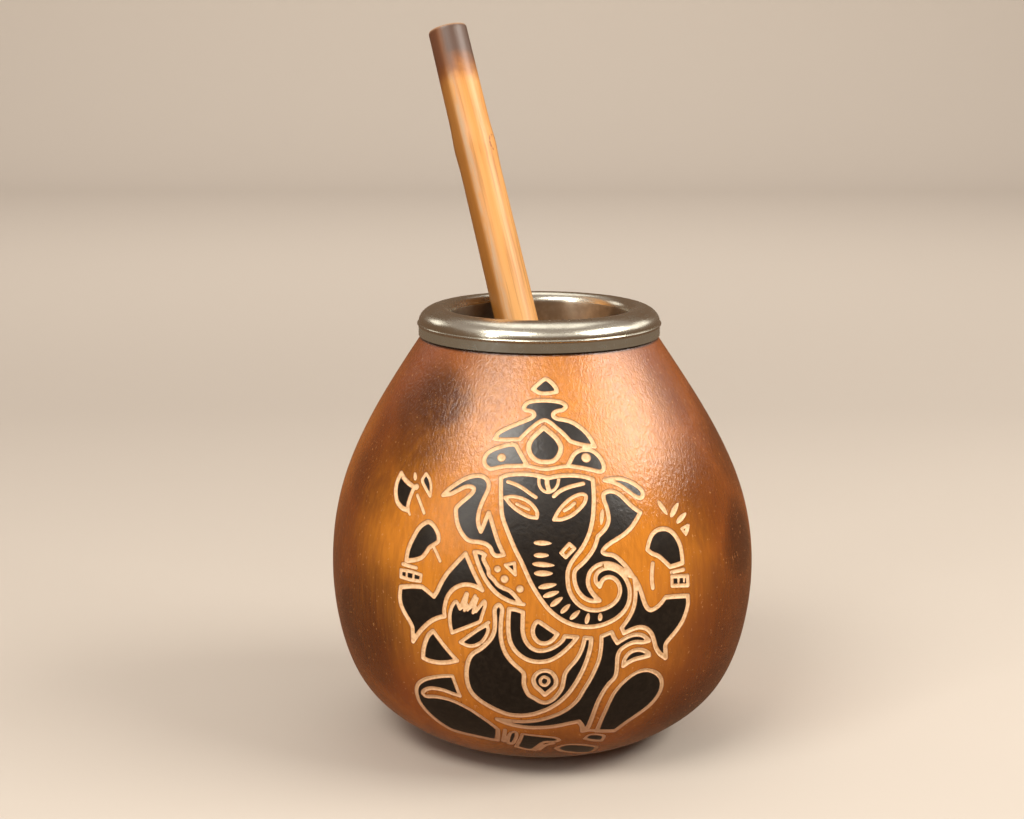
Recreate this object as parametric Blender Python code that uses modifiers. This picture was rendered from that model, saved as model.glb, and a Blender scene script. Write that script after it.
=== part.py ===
# A mate gourd with a pressed steel collar on its neck and a cane straw standing in it.
# Metres, +Z up. The origin is the middle of the flat spot that the gourd stands on,
# the front is the -Y side, and the straw leans back and to the left (+Y and -X).

import math

import bpy
from mathutils import Vector

MM = 0.001
GAP = 0.3 * MM

# Gourd: its outer side is a cubic B-spline through this control polygon (radius, height),
# from the edge of the flat spot up to the ledge under the collar.
GOURD_OUTLINE = [
    (13.0 * MM, 0.0),
    (22.1 * MM, 0.0),
    (31.2 * MM, 4.9 * MM),
    (39.2 * MM, 12.1 * MM),
    (43.4 * MM, 25.0 * MM),
    (44.5 * MM, 39.0 * MM),
    (42.2 * MM, 53.0 * MM),
    (36.2 * MM, 66.0 * MM),
    (29.3 * MM, 77.0 * MM),
    (24.35 * MM, 84.4 * MM),
]
GOURD_WALL = 5.0 * MM
NECK_HEIGHT = 2.6 * MM          # the cut neck above the ledge, inside the collar
NECK_EDGE = 0.5 * MM            # chamfer round the neck's top
BELLY_Z = 36.7 * MM             # height of the widest part
NECK_SHIFT = -0.74 * MM         # the grown neck stands a little to the left of the belly
OUTLINE_STEPS = 3               # points per spline span
GOURD_SEGMENTS = 64

# Collar: one pressed sheet, with a short skirt, a thin bead, a domed lip and an inner sleeve.
COLLAR_SHEET = 0.7 * MM
COLLAR_RADIUS = 24.85 * MM      # outside of the skirt
SKIRT_HEIGHT = 2.3 * MM
BEAD_RADIUS = 0.28 * MM
CREST_RADIUS = 20.4 * MM        # where the lip is highest
DOME_HEIGHT = 3.2 * MM          # crest above the bead
LIP_RADIUS = 2.2 * MM           # round of the lip towards the mouth
SLEEVE_DEPTH = 14.0 * MM        # lower end of the sleeve below the crest
COLLAR_SEGMENTS = 64
LIP_STEPS = 4
DOME_STEPS = 6

# Straw: a length of cane that thins towards its mouth end, with one node.
STRAW_LIP_POINT = Vector((-6.2 * MM, 11.9 * MM, 89.0 * MM))    # its axis beside the lip
STRAW_LEAN = Vector((-0.2465, 0.3058, 1.0))                     # direction of its axis, upwards
STRAW_FOOT_Z = 7.4 * MM         # height of the middle of its lower end
STRAW_TOP_Z = 146.0 * MM        # height of the middle of its upper end
STRAW_FOOT_RADIUS = 4.95 * MM
STRAW_MOUTH_RADIUS = 4.15 * MM
STRAW_BORE_RADIUS = 2.6 * MM
STRAW_EDGE = 0.4 * MM           # chamfer of the cut ends
STRAW_NODE_Z = 121.5 * MM       # height of the cane's node
STRAW_NODE_SWELL = 0.22 * MM
STRAW_NODE_WIDTH = 3.5 * MM
STRAW_SEGMENTS = 24

COLORS = {
    "gourd_shell": ((0.40, 0.155, 0.04, 1.0), 0.32, 0.0),
    "steel_collar": ((0.66, 0.62, 0.55, 1.0), 0.2, 1.0),
    "cane_straw": ((0.66, 0.35, 0.10, 1.0), 0.4, 0.0),
}


def clear_scene():
    for obj in list(bpy.data.objects):
        bpy.data.objects.remove(obj, do_unlink=True)


def make_material(name):
    color, roughness, metallic = COLORS[name]
    material = bpy.data.materials.new(name)
    material.use_nodes = True
    shader = material.node_tree.nodes["Principled BSDF"]
    shader.inputs["Base Color"].default_value = color
    shader.inputs["Roughness"].default_value = roughness
    shader.inputs["Metallic"].default_value = metallic
    return material


def spline_through(control, steps):
    # Uniform cubic B-spline that starts and ends on its first and last control points.
    first = (2 * control[0][0] - control[1][0], 2 * control[0][1] - control[1][1])
    last = (2 * control[-1][0] - control[-2][0], 2 * control[-1][1] - control[-2][1])
    cage = [first] + list(control) + [last]
    points = []
    for span in range(len(cage) - 3):
        for step in range(steps):
            t = step / steps
            weights = (
                (1 - t) ** 3 / 6,
                (3 * t ** 3 - 6 * t ** 2 + 4) / 6,
                (-3 * t ** 3 + 3 * t ** 2 + 3 * t + 1) / 6,
                t ** 3 / 6,
            )
            corners = cage[span:span + 4]
            radius = sum(w * c[0] for w, c in zip(weights, corners))
            height = sum(w * c[1] for w, c in zip(weights, corners))
            points.append((radius, height))
    points.append(control[-1])
    return points


def inward(points, distance):
    # The outline moved square to itself, towards the axis and the inside.
    moved = []
    for index, point in enumerate(points):
        before = points[max(index - 1, 0)]
        after = points[min(index + 1, len(points) - 1)]
        along = Vector((after[0] - before[0], after[1] - before[1])).normalized()
        moved.append((point[0] - along.y * distance, point[1] + along.x * distance))
    return moved


def arc(center, radii, start, end, steps):
    # Points of an ellipse's arc in the section plane, angles in degrees.
    points = []
    for step in range(steps + 1):
        angle = math.radians(start + (end - start) * step / steps)
        points.append((center[0] + radii[0] * math.cos(angle), center[1] + radii[1] * math.sin(angle)))
    return points


def turned(name, section, segments, closed):
    # The section lies in the XZ plane at +X: up its inner side, then down its outer side.
    mesh = bpy.data.meshes.new(name)
    vertices = [(radius, 0.0, height) for radius, height in section]
    edges = [(index, index + 1) for index in range(len(section) - 1)]
    if closed:
        edges.append((len(section) - 1, 0))
    mesh.from_pydata(vertices, edges, [])
    obj = bpy.data.objects.new(name, mesh)
    screw = obj.modifiers.new("turn", 'SCREW')
    screw.axis = 'Z'
    screw.steps = segments
    screw.render_steps = segments
    screw.use_merge_vertices = True
    screw.merge_threshold = 0.00001
    screw.use_smooth_shade = True
    obj.data.materials.append(make_material(name))
    return obj


def make_gourd():
    outer = spline_through(GOURD_OUTLINE, OUTLINE_STEPS)
    ledge_z = GOURD_OUTLINE[-1][1]
    neck_top = ledge_z + NECK_HEIGHT
    neck_radius = COLLAR_RADIUS - COLLAR_SHEET - GAP
    bore_radius = CREST_RADIUS - LIP_RADIUS + COLLAR_SHEET + GAP

    inner = [p for p in inward(outer, GOURD_WALL) if p[0] > bore_radius]
    bore_foot = inner[-1][1] + (inner[-1][0] - bore_radius)
    section = [(0.0, GOURD_WALL)] + [p for p in inner if p[1] < bore_foot]
    section += [(bore_radius, bore_foot), (bore_radius, neck_top)]
    section += [(neck_radius - NECK_EDGE, neck_top), (neck_radius, neck_top - NECK_EDGE)]
    section += [(neck_radius, ledge_z)] + outer[::-1] + [(0.0, 0.0)]
    gourd = turned("gourd_shell", section, GOURD_SEGMENTS, closed=False)

    # Above the belly the gourd grows slightly to one side, all of it by the neck.
    rise = gourd.vertex_groups.new(name="rise")
    for index, (radius, height) in enumerate(section):
        share = min(max((height - BELLY_Z) / (ledge_z - BELLY_Z), 0.0), 1.0)
        rise.add([index], share * share * (3 - 2 * share), 'REPLACE')
    shift = gourd.modifiers.new("grown to one side", 'DISPLACE')
    shift.direction = 'X'
    shift.mid_level = 0.0
    shift.strength = NECK_SHIFT
    shift.vertex_group = rise.name
    return gourd


def collar_heights():
    skirt_foot = GOURD_OUTLINE[-1][1] + GAP
    bead_z = skirt_foot + SKIRT_HEIGHT
    return skirt_foot, bead_z, bead_z + BEAD_RADIUS + DOME_HEIGHT


def make_collar():
    skirt_foot, bead_z, crest_z = collar_heights()
    dome_z = bead_z + BEAD_RADIUS
    throat = CREST_RADIUS - LIP_RADIUS
    sleeve_foot = crest_z - SLEEVE_DEPTH
    dome_width = COLLAR_RADIUS - CREST_RADIUS
    lip_center = (CREST_RADIUS, crest_z - LIP_RADIUS)
    dome_center = (CREST_RADIUS, dome_z)

    shown = [(throat, sleeve_foot)]
    shown += arc(lip_center, (LIP_RADIUS, LIP_RADIUS), 180, 90, LIP_STEPS)
    shown += arc(dome_center, (dome_width, DOME_HEIGHT), 90, 0, DOME_STEPS)[1:]
    shown += [(COLLAR_RADIUS + BEAD_RADIUS, bead_z), (COLLAR_RADIUS, bead_z - BEAD_RADIUS)]
    shown += [(COLLAR_RADIUS, skirt_foot)]

    thin_lip = LIP_RADIUS - COLLAR_SHEET
    thin_dome = (dome_width - COLLAR_SHEET, DOME_HEIGHT - COLLAR_SHEET)
    hidden = [(throat + COLLAR_SHEET, sleeve_foot)]
    hidden += arc(lip_center, (thin_lip, thin_lip), 180, 90, LIP_STEPS)
    hidden += arc(dome_center, thin_dome, 90, 0, DOME_STEPS)[1:]
    hidden += [(COLLAR_RADIUS - COLLAR_SHEET, skirt_foot)]

    collar = turned("steel_collar", shown + hidden[::-1], COLLAR_SEGMENTS, closed=True)
    collar.location.x = NECK_SHIFT
    return collar


def make_straw():
    # Its axis is straight, so a height along the object is a length along the straw.
    along = STRAW_LEAN.normalized()
    foot = STRAW_LIP_POINT + STRAW_LEAN * (STRAW_FOOT_Z - STRAW_LIP_POINT.z)
    length = (STRAW_TOP_Z - STRAW_FOOT_Z) / along.z
    node = (STRAW_NODE_Z - STRAW_FOOT_Z) / along.z

    def outer_radius(height):
        taper = STRAW_FOOT_RADIUS + (STRAW_MOUTH_RADIUS - STRAW_FOOT_RADIUS) * height / length
        swell = STRAW_NODE_SWELL * math.exp(-((height - node) / STRAW_NODE_WIDTH) ** 2)
        return taper + swell

    rings = [length - STRAW_EDGE, (node + length) / 2]
    rings += [node + STRAW_NODE_WIDTH * step / 2 for step in (4, 2, 0, -2, -4)]
    rings += [node * 0.6, node * 0.25, STRAW_EDGE]
    section = [(STRAW_BORE_RADIUS, 0.0), (STRAW_BORE_RADIUS, length)]
    section += [(outer_radius(length) - STRAW_EDGE, length)]
    section += [(outer_radius(height), height) for height in rings]
    section += [(outer_radius(0.0) - STRAW_EDGE, 0.0)]

    straw = turned("cane_straw", section, STRAW_SEGMENTS, closed=True)
    straw.location = foot
    straw.rotation_mode = 'QUATERNION'
    straw.rotation_quaternion = along.to_track_quat('Z', 'Y')
    return straw


def main():
    clear_scene()
    collection = bpy.data.collections.new("mate_gourd")
    bpy.context.scene.collection.children.link(collection)
    for piece in (make_gourd(), make_collar(), make_straw()):
        collection.objects.link(piece)


main()
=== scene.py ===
# A mate gourd with a steel collar and a cane straw, carved in front with an elephant-headed
# figure. +Z is up and the carved front faces -Y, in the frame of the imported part. Shapes are
# worked out in millimetres, meshes and materials are in metres.

import math

import bpy
import numpy as np
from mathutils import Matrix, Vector, kdtree
from mathutils.geometry import delaunay_2d_cdt


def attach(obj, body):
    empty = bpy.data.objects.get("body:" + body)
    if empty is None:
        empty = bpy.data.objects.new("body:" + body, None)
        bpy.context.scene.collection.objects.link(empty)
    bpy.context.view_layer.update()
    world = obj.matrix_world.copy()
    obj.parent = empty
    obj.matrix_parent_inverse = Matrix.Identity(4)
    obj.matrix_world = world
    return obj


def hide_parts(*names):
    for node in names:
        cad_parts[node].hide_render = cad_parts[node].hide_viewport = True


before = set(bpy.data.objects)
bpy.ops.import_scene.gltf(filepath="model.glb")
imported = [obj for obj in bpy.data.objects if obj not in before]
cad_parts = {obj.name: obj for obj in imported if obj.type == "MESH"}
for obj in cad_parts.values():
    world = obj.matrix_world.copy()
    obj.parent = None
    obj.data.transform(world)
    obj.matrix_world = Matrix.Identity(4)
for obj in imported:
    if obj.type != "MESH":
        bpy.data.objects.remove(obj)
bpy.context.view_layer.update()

mm = 0.001
tiny = 1e-12        # keeps a division away from zero
scene = bpy.context.scene


def report(stage):
    print("mate gourd:", stage)


def newObject(name, data):
    obj = bpy.data.objects.new(name, data)
    scene.collection.objects.link(obj)
    return obj


def newMesh(name, points, faces):
    mesh = bpy.data.meshes.new(name)
    mesh.from_pydata([tuple(p) for p in points], [], faces)
    mesh.polygons.foreach_set("use_smooth", [True] * len(faces))
    mesh.update()
    return mesh


# Camera: the view that the carving is laid out in.

view = {
    "place": Vector((-6.336 * mm, -407.8 * mm, 151.1 * mm)),
    "down": math.radians(11.44),
    "lens": 70.3125,
    "sensor": 36.0,
    "clip": (0.01, 20.0),
    "wide": 1024,
    "high": 819,
    # The walk along a sight line to the gourd: its start in millimetres, its number of steps,
    # the share of the gap that a step takes and the limits of a step.
    "walkStart": 300.0,
    "walkSteps": 401,
    "walkShare": 0.5,
    "walkLimits": (-1.0, 2.0),
}


def makeCamera():
    data = bpy.data.cameras.new("camera")
    data.lens = view["lens"]
    data.sensor_width = view["sensor"]
    data.clip_start, data.clip_end = view["clip"]
    camera = newObject("camera", data)
    camera.location = view["place"]
    camera.rotation_euler = (math.pi / 2 - view["down"], 0, 0)
    scene.camera = camera
    scene.view_settings.view_transform = 'Standard'


def sightLine(points):
    # Directions from the camera through points of the view, x to the right and y down.
    points = np.asarray(points, float)
    focal = view["lens"] / view["sensor"] * view["wide"]
    right = (points[:, 0] - view["wide"] / 2) / focal
    up = (view["high"] / 2 - points[:, 1]) / focal
    cosine, sine = math.cos(view["down"]), math.sin(view["down"])
    rays = np.stack([right, cosine + up * sine, up * cosine - sine], axis=1)
    return rays / np.linalg.norm(rays, axis=1)[:, None]


# Gourd: the outline is the same curve as in the solid, drawn finer.

gourd = {
    "outline": [(13.0, 0.0), (22.1, 0.0), (31.2, 4.9), (39.2, 12.1), (43.4, 25.0),
                (44.5, 39.0), (42.2, 53.0), (36.2, 66.0), (29.3, 77.0), (24.35, 84.4)],
    "spanSteps": 60,         # points of the curve in each of its spans
    "frameStep": 0.05,       # length that the direction up the skin is measured over
    "wall": 5.0,
    "neckHigh": 2.6,
    "neckRadius": 23.85,
    "boreRadius": 19.2,
    "edgeRound": 0.5,
    "bellyHigh": 36.7,
    "shift": -0.74,          # how far the neck stands to the left of the belly
    "around": 240,
    "rows": 120,
    "innerEvery": 12,        # the hollow takes every so many points of the curve
    "floorRing": 0.6,        # radius of a ring on the hollow's flat floor, as a share of it
    "crease": 35,            # sharpest angle that is still shaded smooth inside, in degrees
}
ledgeHigh = gourd["outline"][-1][1]
neckTop = ledgeHigh + gourd["neckHigh"]
skinFace, cutFace, blackFace, rawFace = range(4)


def outlineCurve():
    # The uniform cubic B-spline of the outline, sampled finely, with its length along.
    control = np.array(gourd["outline"])
    cage = np.vstack([2 * control[0] - control[1], control, 2 * control[-1] - control[-2]])
    t = np.linspace(0, 1, gourd["spanSteps"], endpoint=False)[:, None]
    weights = [(1 - t) ** 3 / 6, (3 * t ** 3 - 6 * t ** 2 + 4) / 6,
               (-3 * t ** 3 + 3 * t ** 2 + 3 * t + 1) / 6, t ** 3 / 6]
    spans = [sum(w * cage[i + k] for k, w in enumerate(weights)) for i in range(len(cage) - 3)]
    points = np.vstack(spans + [control[-1:]])
    length = np.concatenate([[0], np.cumsum(np.linalg.norm(np.diff(points, axis=0), axis=1))])
    return length, points


outlineAlong, outlinePoints = outlineCurve()
outlineLength = outlineAlong[-1]


def outlineAt(along):
    radius = np.interp(along, outlineAlong, outlinePoints[:, 0])
    height = np.interp(along, outlineAlong, outlinePoints[:, 1])
    return radius, height


def shiftAt(height):
    share = np.clip((height - gourd["bellyHigh"]) / (ledgeHigh - gourd["bellyHigh"]), 0, 1)
    return gourd["shift"] * share * share * (3 - 2 * share)


def skinPoint(turn, along):
    # turn: angle from the front, positive to the right, in radians. In millimetres.
    radius, height = outlineAt(along)
    x = radius * np.sin(turn) + shiftAt(height)
    return np.stack([x, -radius * np.cos(turn), height], axis=-1)


def skinOut(turn, along):
    # Unit vectors that point out of the skin.
    step = gourd["frameStep"]
    right = np.stack([np.cos(turn), np.sin(turn), np.zeros_like(turn)], axis=-1)
    up = skinPoint(turn, along + step) - skinPoint(turn, along - step)
    up /= np.linalg.norm(up, axis=-1)[..., None]
    out = np.cross(right, up)
    return out / np.linalg.norm(out, axis=-1)[..., None]


def ontoSkin(points):
    # Carries points of the view along their sight lines onto the gourd: (turn, along).
    rays = sightLine(points)
    eye = np.array(view["place"]) / mm
    far = np.full(len(rays), view["walkStart"])
    heights, radii = outlinePoints[:, 1], outlinePoints[:, 0]
    for _ in range(view["walkSteps"]):
        place = eye + rays * far[:, None]
        sideways = place[:, 0] - shiftAt(place[:, 2])
        gap = np.hypot(sideways, place[:, 1])
        gap = gap - np.interp(place[:, 2], heights, radii, left=0.0, right=0.0)
        far = far + np.clip(gap * view["walkShare"], *view["walkLimits"])
    turn = np.arctan2(sideways, -place[:, 1])
    return np.stack([turn, np.interp(place[:, 2], heights, outlineAlong)], axis=1)


# Carving: every line is a path in the view, 1024 wide and 819 high, with 1 at its corners.

carving = {
    "blackShapes": {
        "finial": [(532.8, 389, 1), (538.5, 383.6), (545.4, 378.9), (551.3, 382.3), (556, 388),
            (556.8, 391.8, 1), (550, 393), (540, 392.9)],
        "crownTier": [(523.9, 407.6), (527, 403), (533.5, 401), (545, 400.3), (556, 401.2),
            (563, 403), (566, 406.3), (563, 409.7), (557, 411), (553.6, 413.2), (553.6, 416.3),
            (557.5, 418.7), (564, 419.7), (571, 421.7), (579, 426.3), (586, 432.5), (591, 439),
            (595, 446.4, 1), (585, 445), (577, 443.3), (570.2, 441, 1), (563, 433.3), (555, 426.4),
            (549, 421.6), (544.5, 420), (539, 422), (531, 428.2), (524.5, 434.3),
            (519.8, 439.2, 1), (511, 439.4), (502, 439.5), (494.6, 438.8, 1), (498, 433.4),
            (504, 429.5), (511, 426.3), (519, 423.1), (526, 420.3), (531.5, 417.8), (534.2, 415),
            (533, 412), (529.5, 410.6), (525.5, 410)],
        "jewel": [(543.7, 427.4, 1), (537.3, 433.2), (531, 440), (528.6, 447.5), (531, 455.3),
            (537.5, 460.7), (545.5, 462), (553.5, 460.7), (559, 455), (560.9, 447.5),
            (557.5, 439.8), (550.5, 432.8)],
        "leftLobe": [(484.2, 459.5), (487.3, 453.3), (493.5, 449.3), (502, 446.3), (509.5, 444.6),
            (515.5, 445), (519, 450.8), (523, 458), (527.3, 465.4, 1), (517, 465.8), (505, 466.1),
            (497, 467.7), (490, 468.7), (485.3, 465)],
        "rightLobe": [(568.2, 465.8, 1), (571.3, 459), (574.8, 453.6), (580, 450.4),
            (586.5, 449.4), (593.3, 451.3), (599.5, 456.6), (603.4, 463.6), (603.8, 469),
            (600.5, 471.6), (592, 469.8), (580, 467.4)],
        "leftEar": [(443, 494.8, 1), (449, 489), (457, 483.3), (465, 478.6), (473, 476),
            (480, 475.6), (485.5, 478), (488.6, 483), (488, 489.5), (485, 496), (481.8, 503),
            (479, 511), (477.8, 519), (478.6, 526), (480.8, 531.5, 1), (483.5, 525.5),
            (486.3, 518), (488.7, 512.5, 1), (492, 523), (495, 533), (498, 542), (501.5, 550),
            (503.8, 554.8, 1), (496.5, 555.8), (492.5, 553), (490.5, 548), (486.5, 544.3),
            (479.5, 542.1), (471, 541.2), (466.3, 538.8), (461, 532), (457.4, 523.5), (455.9, 514),
            (456.2, 508), (461, 502.8), (468, 497), (473, 491.8), (473.8, 488.3), (470.5, 486.4),
            (465, 486.8), (457.5, 490.5), (450.5, 493.8)],
        "face": [(501, 477.3, 1), (508, 474.9), (518, 474), (530, 474.3), (540, 476), (548, 477.8),
            (556, 476.3), (565, 475.4), (575, 475.4), (585, 476.8), (592.8, 479.2, 1),
            (593.7, 490), (593.9, 503), (593, 517), (591, 528), (587.3, 538.5), (581.8, 548.5),
            (576, 556), (570.8, 563.5), (568, 571), (567.7, 581), (569.4, 590.5), (574.5, 600),
            (581.5, 606.5), (589.5, 609.8), (598, 610.3), (607, 607.8), (614.5, 603), (619, 596.5),
            (620.2, 589), (617.8, 582), (613, 577.9), (607.3, 577.3), (602.7, 580.2),
            (599.8, 586.6, 1), (596.2, 582), (595.7, 577), (598, 572.3), (603, 569), (609, 568),
            (616, 569.8), (622.5, 574.5), (627.3, 581.5), (629.8, 590), (629.5, 600), (625.8, 609),
            (619, 616.4), (610, 622), (600, 625.6), (590, 627), (580, 626.4), (570, 623.7),
            (559.5, 618.3), (549.3, 610), (541.3, 600), (534.8, 590), (529.4, 580), (525, 570),
            (520.5, 560), (515.3, 550), (511, 540), (507, 530), (503.6, 521), (501.6, 512),
            (501, 500), (500.8, 488)],
        "rightEar": [(604, 493.6), (609, 491.2), (615, 491.9), (620.5, 495), (626.5, 501),
            (633, 507), (640.5, 512.3, 1), (636.8, 519.3), (632, 526.6), (625.5, 533.3),
            (617.5, 538.8), (609.5, 543.8), (604.5, 548.3), (602.8, 552), (606.5, 554.2),
            (612.5, 555), (618, 558.2), (623, 563), (628, 568.8), (633, 576.5, 1), (628.3, 574.8),
            (622.5, 569.6), (616, 565.5), (609, 563.4), (602, 563.8), (595, 567), (590, 572.5),
            (588, 580), (589, 587), (593, 593.8), (599.6, 600.6, 1), (592, 601), (584.5, 598),
            (578.8, 592), (575.4, 584.5), (574.2, 577), (575, 571), (578.5, 567), (584, 562),
            (589.5, 555.5), (594, 548.5), (596.8, 541), (598, 536.3, 1), (602.5, 532),
            (606.5, 527), (608.7, 521), (608.5, 514.5), (606.5, 506.5), (604, 499.8)],
        "leaf": [(604.5, 480.2, 1), (613, 478.3), (621, 478.6), (629, 481), (636.5, 485.2),
            (642, 490.5), (643, 495.5), (640, 498), (634, 495.3), (627, 490), (619.5, 484.8),
            (612, 481.8)],
        "axeBlade": [(401, 473, 1), (404.5, 479), (409, 483.5), (414, 487, 1), (411.8, 492.5),
            (409, 500), (407.5, 507), (407.8, 510.3, 1), (402, 507.8), (397.3, 502), (395.6, 494),
            (396, 486), (398, 479)],
        "axeHook": [(426, 473.5, 1), (429.5, 479), (430.9, 487), (430, 496, 1), (426.3, 489.5),
            (422.3, 480.3)],
        "leftUpperHand": [(428.5, 521.8), (422.5, 524.5), (417.8, 529.5), (413.8, 536.5),
            (410, 544), (407.5, 551.5), (406, 560.8, 1), (414, 560), (421.5, 557.5), (426, 552.5),
            (429, 547.8), (433.5, 544.8), (438, 541.3), (438.3, 535.5), (436.3, 530), (433, 525)],
        "leftBracelet": [(400.8, 569.8, 1), (411, 571.6), (421, 574.9, 1), (420.2, 581.2, 1),
            (410, 579.7), (400.6, 576.8, 1)],
        "leftArm": [(465.5, 553.3, 1), (469.2, 562.5), (473.5, 572.5), (478, 581.5),
            (482.3, 590.3, 1), (477.5, 587.3), (471, 585), (464, 584.6), (457, 586.8),
            (451.3, 591), (447.2, 597), (445, 604), (444, 611), (444.5, 616.3, 1), (438.5, 617.6),
            (431.5, 620.8), (425, 626), (419, 632.5), (412.8, 641.3, 1), (412.5, 633),
            (412, 626.5), (408.5, 619.5), (404, 612), (400.8, 604.5), (399.6, 596),
            (400.5, 587, 1), (411, 586.2), (421.8, 586.8, 1), (427.3, 591), (433.6, 596.6, 1),
            (437, 591.5), (441.5, 582), (447.5, 572.8), (454, 565.5), (460, 559)],
        "leftPalm": [(451.8, 632.8, 1), (450, 624), (449.8, 614), (452, 606), (456, 601.5),
            (459.8, 608.8, 1), (463, 606), (465.5, 603), (467, 609.5, 1), (470.5, 607),
            (473.8, 603), (475.5, 611.5, 1), (480, 606), (484.3, 601), (485.3, 604), (483.8, 610),
            (481.5, 616.5), (480, 621.3), (473, 624.6), (463, 628.5)],
        "leftBowl": [(460.3, 642.3, 1), (469, 636), (478, 629.8), (487, 624.7, 1), (488, 630),
            (486, 636), (481.5, 642), (475, 645.5), (468, 645.8)],
        "leftElbow": [(433, 631, 1), (439, 639.3), (446, 648.3), (452, 655.3), (457, 660.6, 1),
            (448, 662.4), (438, 662.6), (429, 660.8), (422.8, 657.8, 1), (423.3, 650),
            (425.2, 642), (428.5, 635)],
        "sash": [(474.5, 552, 1), (480, 552.2), (484.8, 554.8, 1), (483.2, 558.5), (485.5, 564),
            (488.3, 569.5), (489, 574.8), (493.5, 579.5), (497.5, 584.8), (503.5, 588.3),
            (509.5, 590.8), (514.5, 595.5), (520.5, 603, 1), (513, 602.3), (505, 599),
            (497, 593.8), (490.5, 587), (485, 579), (480.8, 570.5), (477.3, 561.5)],
        "sashTriangle": [(505.3, 565, 1), (514.4, 563, 1), (515.3, 574.8, 1)],
        "necklace": [(509, 609, 1), (516, 609.8), (523, 612.3, 1), (522.6, 622), (522.6, 631),
            (524.5, 639), (529, 646), (535, 650), (541, 651), (549, 649.5), (556.5, 645.8),
            (562.5, 640.6), (564.8, 636.3, 1), (577.3, 637.2, 1), (572.5, 643.3), (566, 649.8),
            (559, 655.6), (550.5, 660.2), (541, 662), (531, 661), (522.5, 657.2), (515.3, 650.8),
            (510.6, 643), (508.5, 633), (508.3, 621)],
        "throat": [(537.5, 621.6), (533.6, 626.5), (532.8, 633), (535.3, 639), (540.3, 643),
            (546.5, 643.3), (552.5, 640.3), (557.5, 634.3, 1), (550, 629.4), (543.3, 624.7)],
        "navel": [(544.8, 670.8), (551.5, 672.8), (555.8, 678.8), (555.5, 685.3), (551, 690),
            (544.8, 695, 1), (540, 690.3), (535.3, 686), (533.4, 679.5), (537, 673.5)],
        "belly": [(494.7, 609), (495, 620), (494.5, 630), (492, 637), (487, 643.3), (480, 649.3),
            (473.3, 653.3), (469.2, 658.5), (467, 666), (466.3, 674), (467.3, 682.5), (470, 690),
            (475, 696.5), (482, 702), (490, 706.8), (499, 711.2), (509, 714.6), (519, 715.7),
            (530, 714.9), (541, 712), (551, 707.6), (560, 701.6), (567.5, 694.5), (574, 686),
            (580, 676), (584.5, 666.5), (588.3, 656), (590.8, 645.5), (591.3, 638.4, 1),
            (584.8, 637.8, 1), (583.3, 645), (580.3, 653), (575.8, 660.5), (569.5, 667.5),
            (565.3, 673.5), (563.5, 681), (562, 688), (558, 694.3), (552.5, 700), (546, 702.8),
            (540.5, 702), (534.5, 698.5), (529, 695.3), (525.8, 690), (523.8, 684), (524, 678.5),
            (523.6, 673.5), (519.5, 669), (513.5, 663.8), (508, 657.5), (504.3, 651),
            (501.8, 643.5), (500.7, 636), (500.6, 627), (501.3, 617), (502, 608.6),
            (498.6, 604.8)],
        "robe": [(601.7, 636.3, 1), (606.5, 634.4), (611.7, 632.2, 1), (614.3, 638),
            (617.6, 643.2, 1), (622.5, 640), (629.5, 636.3), (637, 634.6), (643.5, 635.8),
            (649.3, 640.8, 1), (643, 642.3), (635, 642.2), (627.5, 645), (620.8, 649.8),
            (618, 655.5), (617.2, 663), (616.8, 671), (614.8, 677.7), (609.3, 683.5), (603.3, 692),
            (598.2, 701.5), (594.3, 711.5), (591, 720.5), (587.3, 728.5), (582.8, 731.3, 1),
            (582, 726), (578.8, 721.6, 1), (568, 723.8), (555, 726.4), (541, 727.8), (527, 727.5),
            (514, 725.5), (504, 722.5), (497, 719.2, 1), (511, 721.2), (524, 721.8), (538, 720.5),
            (551, 717), (562, 712.5), (571, 706.5), (578, 699.5), (583.8, 690), (590, 680),
            (595, 670), (599, 660), (600.9, 650)],
        "rightArm": [(634.5, 578, 1), (638.5, 585), (641.5, 593), (644, 601), (647, 607.5),
            (650.5, 610), (655.5, 608.3), (661, 603.5), (665.8, 597.2, 1), (677, 596.3),
            (688, 595.8, 1), (688.2, 604), (686, 613), (682, 622.5), (675.5, 632), (669.5, 639),
            (665.8, 644.5), (665.7, 650), (666, 658, 1), (659.8, 653.5), (656, 647.5), (654, 640),
            (651.5, 633.5), (646.5, 628.7), (639.5, 627.3), (632, 629.5), (624.2, 633.2, 1),
            (621.8, 628, 1), (626, 622.5), (630.5, 615.5), (634, 607), (635.5, 598),
            (635.6, 588.5)],
        "rightUpperHand": [(663.5, 528.6), (656.8, 530.3), (652, 535), (649.2, 541.8),
            (647.4, 549.5, 1), (652, 553.3), (658.5, 556), (664, 560.6), (670.3, 566.8, 1),
            (676.5, 565), (682.8, 562.8, 1), (682.2, 555.5), (681, 547.5), (678.2, 540),
            (673.8, 533.7), (669.2, 530)],
        "rightBracelet": [(672, 576.5, 1), (687.8, 575.8, 1), (688.2, 585.3, 1),
            (672.3, 585.8, 1)],
        "rightFinger": [(623.5, 666, 1), (624.7, 659.5), (629, 653.5), (635, 650.3), (642, 650),
            (648.3, 653), (649.3, 655.6, 1), (643, 657.3), (635, 659.3), (628.5, 662.5)],
        "leftLeg": [(416.2, 690.5), (417.8, 684.5), (423.5, 680), (432.5, 677.5), (442.5, 676.2),
            (452.3, 676, 1), (455.3, 684.5), (459.8, 696, 1), (452, 693.5), (445, 690.8),
            (437.5, 688.9), (430.5, 688.3), (425, 690), (422.4, 693.3), (425.5, 696.3),
            (433, 696.6), (441.5, 697.8), (450.5, 700.2), (460, 704.3), (470, 709.7), (480, 716.3),
            (490, 723.3), (497.8, 729.5, 1), (497.8, 735), (497, 740.5, 1), (488, 739),
            (476, 736.3), (463.5, 733.5), (452, 730), (442, 724.3), (432.5, 717), (424.5, 709),
            (418.8, 700.5)],
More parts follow.
